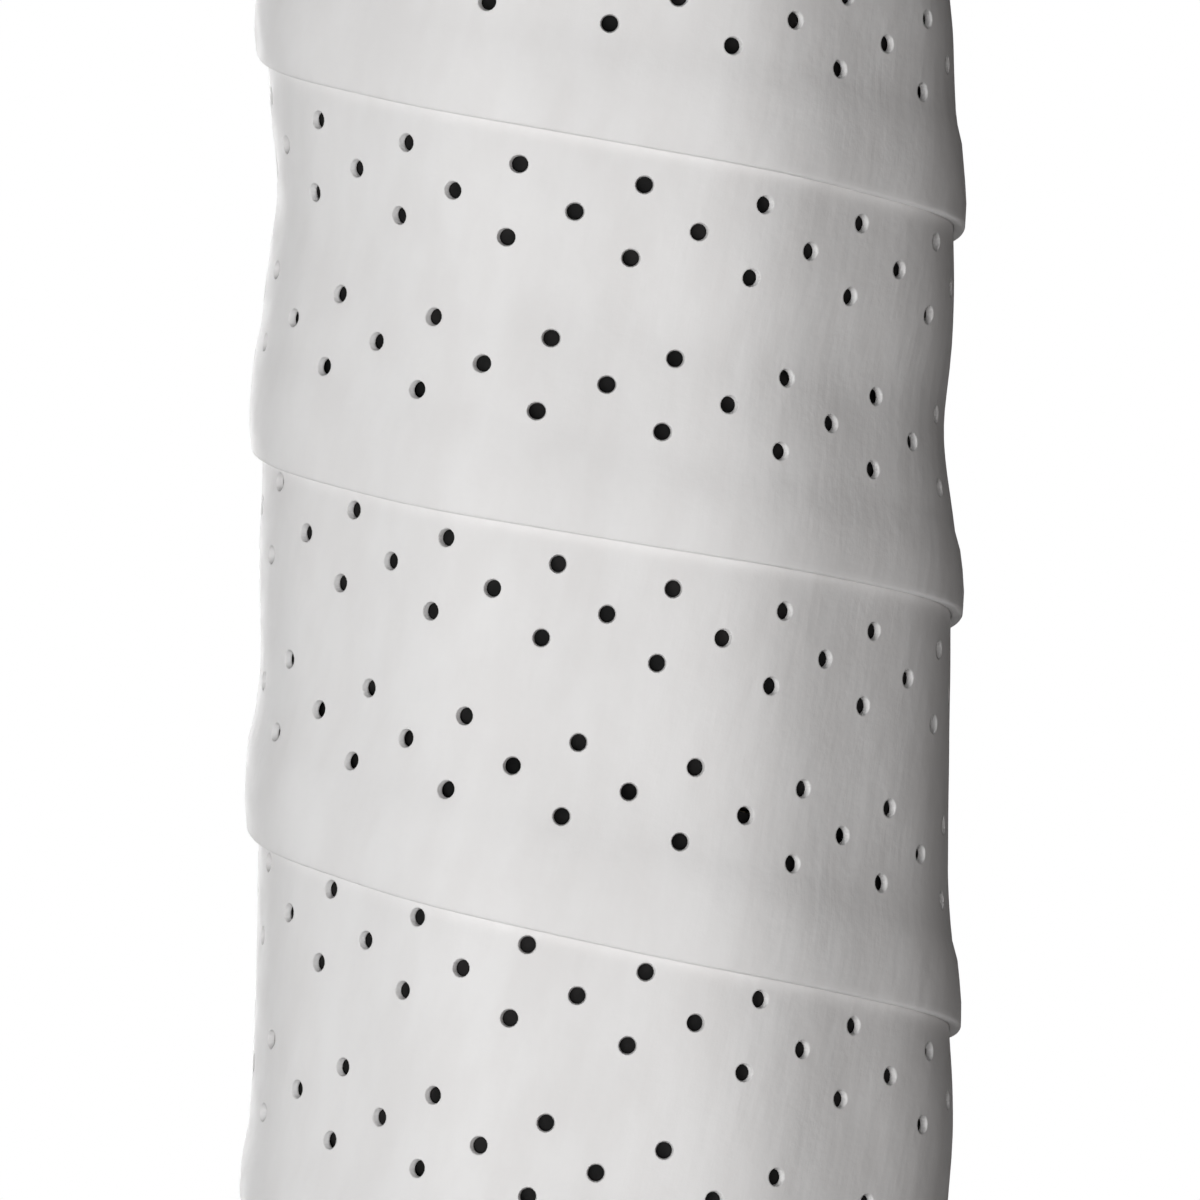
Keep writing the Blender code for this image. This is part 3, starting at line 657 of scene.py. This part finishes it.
class Shader:
    """A Principled BSDF with helpers that wire procedural detail into it."""

    def __init__(self, name, colour, roughness, metallic=0.0, **sockets):
        self.material = bpy.data.materials.new(name)
        self.material.use_nodes = True
        self.tree = self.material.node_tree
        self.principled = self.tree.nodes["Principled BSDF"]
        self.set("Base Color", (*colour, 1))
        self.set("Roughness", roughness)
        self.set("Metallic", metallic)
        for socket, value in sockets.items():
            self.set(socket.replace("_", " "), value)
        self.relief = None

    def set(self, socket, value):
        self.principled.inputs[socket].default_value = value

    def node(self, kind, **values):
        """New node of a kind, each value set on its socket of that name or else on its property."""
        made = self.tree.nodes.new("ShaderNode" + kind)
        for key, value in values.items():
            if key in made.inputs:
                made.inputs[key].default_value = value
            else:
                setattr(made, key, value)
        return made

    def link(self, source, target):
        self.tree.links.new(source, target)

    def place(self, scale=(1, 1, 1), turn=(0, 0, 0), attribute=None):
        """The object's coordinates, or a named attribute's, in metres, scaled and turned."""
        mapping = self.node("Mapping", Scale=scale, Rotation=turn)
        if attribute:
            source = self.node("Attribute", attribute_name=attribute).outputs["Vector"]
        else:
            source = self.node("TexCoord").outputs["Object"]
        self.link(source, mapping.inputs["Vector"])
        return mapping.outputs["Vector"]

    def noise(self, feature, place=None, detail=2.0):
        """Noise from 0 to 1 whose features are about that many millimetres."""
        made = self.node("TexNoise", Scale=1 / (feature * MM), Detail=detail)
        self.link(place or self.place(), made.inputs["Vector"])
        return made.outputs["Fac"]

    def ramp(self, source, low, high, start, end):
        """Start where the source is at low, end where it is at high, and a smooth step between."""
        made = self.node("MapRange", interpolation_type="SMOOTHSTEP")
        for socket, value in (("From Min", low), ("From Max", high), ("To Min", start), ("To Max", end)):
            made.inputs[socket].default_value = value
        self.link(source, made.inputs["Value"])
        return made.outputs["Result"]

    def vary_colour(self, source, first, second, low=0.3, high=0.7):
        """Base colour that goes from first to second as the source goes from low to high."""
        made = self.node("Mix", data_type="RGBA")
        share, start, end = MIX_COLOUR_INPUTS
        made.inputs[start].default_value = (*first, 1)
        made.inputs[end].default_value = (*second, 1)
        self.link(self.ramp(source, low, high, 0, 1), made.inputs[share])
        self.link(made.outputs[MIX_COLOUR_OUTPUT], self.principled.inputs["Base Color"])

    def vary_roughness(self, source, start, end):
        self.link(self.ramp(source, 0.3, 0.7, start, end), self.principled.inputs["Roughness"])

    def soften(self, radius):
        """Rounds the look of every edge by that many millimetres."""
        made = self.node("Bevel", Radius=radius * MM, samples=4)
        self.link(made.outputs["Normal"], self.principled.inputs["Normal"])
        self.relief = made

    def bump(self, source, height):
        """Adds relief of that many millimetres on top of what is there."""
        made = self.node("Bump", Distance=height * MM, Strength=1.0)
        self.link(source, made.inputs["Height"])
        if self.relief:
            self.link(self.relief.outputs["Normal"], made.inputs["Normal"])
        self.link(made.outputs["Normal"], self.principled.inputs["Normal"])
        self.relief = made


def tape_material():
    """Matt polyurethane: very fine grain, faint stretch marks across the strip, slight mottling."""
    made = Shader("overgrip_polyurethane", (0.8, 0.79, 0.785), 0.56, Specular_IOR_Level=0.22)
    made.soften(0.13)
    flat = made.place(attribute="flat")
    streaks = made.noise(1.0, made.place(scale=(1.1, 0.16, 1), attribute="flat"), 3.0)
    mottle = made.noise(2.4, made.place(scale=(0.9, 0.35, 1), attribute="flat"), 4.0)
    made.vary_colour(mottle, (0.778, 0.767, 0.762), (0.816, 0.809, 0.806))
    made.vary_roughness(made.noise(1.6, flat), 0.52, 0.62)
    made.bump(made.noise(0.38, flat, 3.0), 0.012)
    made.bump(streaks, 0.03)
    made.bump(made.noise(2.6, flat, 2.0), 0.08)
    return made.material


def cushion_material():
    made = Shader("base_grip_black", (0.009, 0.009, 0.009), 0.7, Specular_IOR_Level=0.12)
    made.vary_colour(made.noise(1.5), (0.006, 0.006, 0.006), (0.013, 0.012, 0.012), 0.35, 0.65)
    made.bump(made.noise(0.5), 0.03)
    return made.material


def film_material(name, dark, light, roughness):
    made = Shader(name, light, roughness, Specular_IOR_Level=0.5)
    made.vary_colour(made.noise(6.0, detail=3.0), dark, light)
    made.vary_roughness(made.noise(2.0, detail=4.0), roughness - 0.06, roughness + 0.1)
    made.bump(made.noise(1.2, made.place(scale=(1, 1, 0.12))), 0.02)
    return made.material


def rubber_material():
    made = Shader("collar_rubber_matt", (0.03, 0.03, 0.031), 0.68, Specular_IOR_Level=0.35)
    made.vary_colour(made.noise(4.0), (0.028, 0.028, 0.029), (0.034, 0.033, 0.033))
    made.vary_roughness(made.noise(1.4, detail=4.0), 0.6, 0.78)
    made.bump(made.noise(0.25, detail=3.0), 0.012)
    return made.material


def moulded_material(name, dark, light, roughness, grain):
    """Plastic with a fine moulded texture."""
    made = Shader(name, light, roughness, Specular_IOR_Level=0.45)
    made.vary_colour(made.noise(5.0), dark, light)
    made.vary_roughness(made.noise(0.8), roughness - 0.05, roughness + 0.08)
    made.bump(made.noise(0.3, detail=3.0), grain)
    return made.material


def foam_material():
    """Moulded polyurethane foam: smooth skin with small open pores."""
    made = Shader("pallet_foam_skin", (0.55, 0.47, 0.33), 0.8, Specular_IOR_Level=0.2)
    cells = made.node("TexVoronoi", Scale=1 / (0.9 * MM), feature="F1")
    made.link(made.place(), cells.inputs["Vector"])
    made.vary_colour(made.noise(2.0, detail=4.0), (0.47, 0.39, 0.26), (0.58, 0.5, 0.36))
    made.bump(made.ramp(cells.outputs["Distance"], 0.1, 0.35, 0, 1), 0.05)
    return made.material


def carbon_material():
    """Lacquered woven carbon: a 2 mm twill seen through clear coat."""
    made = Shader(
        "shaft_carbon_twill", (0.03, 0.03, 0.033), 0.38, Specular_IOR_Level=0.5,
        Coat_Weight=0.7, Coat_Roughness=0.12, Anisotropic=0.3,
    )
    turn = (math.radians(20), math.radians(35), math.radians(45))
    weave = made.node("TexWave", Scale=1 / (6.0 * MM), Distortion=0.0, bands_direction="X")
    made.link(made.place(turn=turn), weave.inputs["Vector"])
    made.vary_colour(weave.outputs["Fac"], (0.018, 0.018, 0.02), (0.05, 0.05, 0.055), 0.2, 0.8)
    made.vary_roughness(made.noise(0.7), 0.33, 0.45)
    made.bump(made.noise(0.4), 0.006)
    return made.material


def steel_material():
    made = Shader("staple_wire_galvanised", (0.62, 0.62, 0.64), 0.32, metallic=1.0)
    made.vary_colour(made.noise(0.9, detail=4.0), (0.5, 0.5, 0.52), (0.68, 0.68, 0.7))
    made.vary_roughness(made.noise(0.5), 0.25, 0.45)
    made.bump(made.noise(0.3, made.place(scale=(0.1, 1, 1))), 0.005)
    return made.material


def badge_material():
    made = Shader("badge_gloss", (0.6, 0.6, 0.62), 0.2, Specular_IOR_Level=0.5, Coat_Weight=0.4)
    made.vary_colour(made.noise(0.7, detail=4.0), (0.56, 0.56, 0.58), (0.63, 0.63, 0.65))
    made.vary_roughness(made.noise(1.5, detail=4.0), 0.16, 0.28)
    made.bump(made.noise(2.5), 0.004)
    return made.material


def paint(obj, made):
    obj.data.materials.clear()
    obj.data.materials.append(made)


def paint_frame(node, made):
    """Gives a shown CAD node a material, without touching its mesh."""
    for holder in NODES[node].material_slots:
        holder.link = "OBJECT"
        holder.material = made


# ---- The object ----

TAPE = overgrip()
paint(TAPE, tape_material())
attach(TAPE, "handle")
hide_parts("overgrip")

CUSHION = base_grip()
paint(CUSHION, cushion_material())
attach(CUSHION, "handle")
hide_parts("base_grip")

TOP_FILM = film("overgrip_closing_film", TAPE_FILM_PROFILE, 0.62)
paint(TOP_FILM, film_material("closing_film_vinyl", (0.66, 0.66, 0.665), (0.74, 0.74, 0.745), 0.34))
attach(TOP_FILM, "handle")
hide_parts("overgrip_finishing_tape")

BASE_FILM = film("base_grip_closing_film", BASE_FILM_PROFILE, 0.3)
paint(BASE_FILM, film_material("base_film_vinyl", (0.02, 0.02, 0.021), (0.035, 0.035, 0.036), 0.38))
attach(BASE_FILM, "handle")
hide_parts("base_grip_finishing_tape")

COLLAR = collar()
paint(COLLAR, rubber_material())
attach(COLLAR, "collar")
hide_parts("rubber_collar")

CARBON = carbon_material()
for side, side_name in ((-1, "left"), (1, "right")):
    tube = shaft_tube(side, f"carbon_tube_{side_name}")
    paint(tube, CARBON)
    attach(tube, "handle")
    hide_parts(f"shaft_tube_{side_name}")

FOAM = foam_material()
STEEL = steel_material()
CAP_PLASTIC = moulded_material("butt_cap_black", (0.035, 0.035, 0.038), (0.05, 0.05, 0.055), 0.5, 0.02)
DOOR_PLASTIC = moulded_material("door_satin", (0.05, 0.05, 0.054), (0.068, 0.068, 0.073), 0.4, 0.01)
paint_frame("pallet_left", FOAM)
paint_frame("pallet_right", FOAM)
paint_frame("butt_cap", CAP_PLASTIC)
paint_frame("butt_cap_door", DOOR_PLASTIC)
paint_frame("butt_cap_badge", badge_material())
paint_frame("overgrip_starter_tab", film_material("tab_film", (0.7, 0.69, 0.62), (0.78, 0.77, 0.7), 0.32))
for staple in [name for name in NODES if "staple" in name]:
    paint_frame(staple, STEEL)


# ---- Studio ----

AIM = Vector((-0.31, 0.0, 70.0)) * MM
CAMERA_DISTANCE = 1.5
FRAME_SIZE = 0.0636
LEAN = math.radians(0.69)
FLOOR_RADIUS = 1.7
FLOOR_HEIGHT = -0.2 * MM


def white_backdrop():
    """Pure white behind the object for the camera, and no light from it."""
    world = bpy.data.worlds.new("studio")
    world.use_nodes = True
    tree = world.node_tree
    background = tree.nodes["Background"]
    path = tree.nodes.new("ShaderNodeLightPath")
    background.inputs["Color"].default_value = (1, 1, 1, 1)
    tree.links.new(path.outputs["Is Camera Ray"], background.inputs["Strength"])
    bpy.context.scene.world = world


def floor():
    """Pale disc that the handle stands on, glowing with painted light that grows brighter outwards until it
    is lost in the backdrop.
    """
    mesh = bpy.data.meshes.new("floor")
    bm = bmesh.new()
    bmesh.ops.create_circle(bm, cap_ends=True, segments=96, radius=FLOOR_RADIUS)
    bm.to_mesh(mesh)
    bm.free()
    made = new_object("floor", mesh)
    made.location.z = FLOOR_HEIGHT
    made.visible_diffuse = False
    made.visible_shadow = False
    pale = Shader("floor_pale", (0.8, 0.8, 0.8), 0.9, Specular_IOR_Level=0.1)
    gradient = pale.node("TexGradient", gradient_type="SPHERICAL")
    pale.link(pale.place(scale=(1 / FLOOR_RADIUS,) * 3), gradient.inputs["Vector"])
    # Painted light: the floor glows at 0.58 strength near the middle, rising to full white near the rim,
    # where it matches the backdrop.
    pale.set("Emission Color", (1, 1, 1, 1))
    glow = pale.ramp(gradient.outputs["Fac"], 0.02, 0.8, 1.0, 0.58)
    pale.link(glow, pale.principled.inputs["Emission Strength"])
    dim = pale.ramp(gradient.outputs["Fac"], 0.02, 0.8, 0.0, 0.6)
    tone = pale.node("CombineColor")
    for channel in ("Red", "Green", "Blue"):
        pale.link(dim, tone.inputs[channel])
    pale.link(tone.outputs["Color"], pale.principled.inputs["Base Color"])
    paint(made, pale.material)
    return made


def area_light(name, azimuth, elevation, power, size=0.42, distance=0.8, colour=(1, 1, 1)):
    """Square softbox at an azimuth from the front, positive to the right, and an elevation."""
    turn, rise = math.radians(azimuth), math.radians(elevation)
    away = Vector((math.sin(turn) * math.cos(rise), -math.cos(turn) * math.cos(rise), math.sin(rise)))
    data = bpy.data.lights.new(name, "AREA")
    data.shape = "SQUARE"
    data.size = size
    data.energy = power
    data.color = colour
    light = bpy.data.objects.new(name, data)
    light.location = AIM + away * distance
    light.rotation_euler = away.to_track_quat("Z", "Y").to_euler()
    light.visible_camera = False
    bpy.context.scene.collection.objects.link(light)
    return light


def keep_off_floor(light):
    """Lets a light that reaches below the floor light everything but the floor."""
    lit = bpy.data.collections.new(f"{light.name}_lights_all_but")
    lit.objects.link(FLOOR)
    lit.collection_objects[0].light_linking.link_state = "EXCLUDE"
    light.light_linking.receiver_collection = lit


def camera():
    """Long lens square onto the front flat, leaning a little, framing what the photo shows."""
    data = bpy.data.cameras.new("camera")
    data.lens = data.sensor_width * CAMERA_DISTANCE / FRAME_SIZE
    data.clip_start, data.clip_end = 0.1, 20
    made = bpy.data.objects.new("camera", data)
    right = Vector((math.cos(LEAN), 0, math.sin(LEAN)))
    up = Vector((-math.sin(LEAN), 0, math.cos(LEAN)))
    pose = Matrix((right, up, Vector((0, -1, 0)))).transposed().to_4x4()
    pose.translation = AIM + Vector((0, -CAMERA_DISTANCE, 0))
    made.matrix_world = pose
    bpy.context.scene.collection.objects.link(made)
    bpy.context.scene.camera = made


white_backdrop()
FLOOR = floor()
keep_off_floor(area_light("key", -30, -11, 3.05))
keep_off_floor(area_light("key_front", -15, -11, 1.95))
keep_off_floor(area_light("front", 15, 0, 1.0))
keep_off_floor(area_light("fill", 45, -11, 0.32, colour=(1.0, 0.88, 0.82)))
keep_off_floor(area_light("rim", -105, 0, 0.9))
keep_off_floor(area_light("back", -160, 5, 3.0))
area_light("top", -20, 68, 1.2, size=0.5, distance=0.9)
camera()
bpy.context.scene.view_settings.view_transform = "Standard"
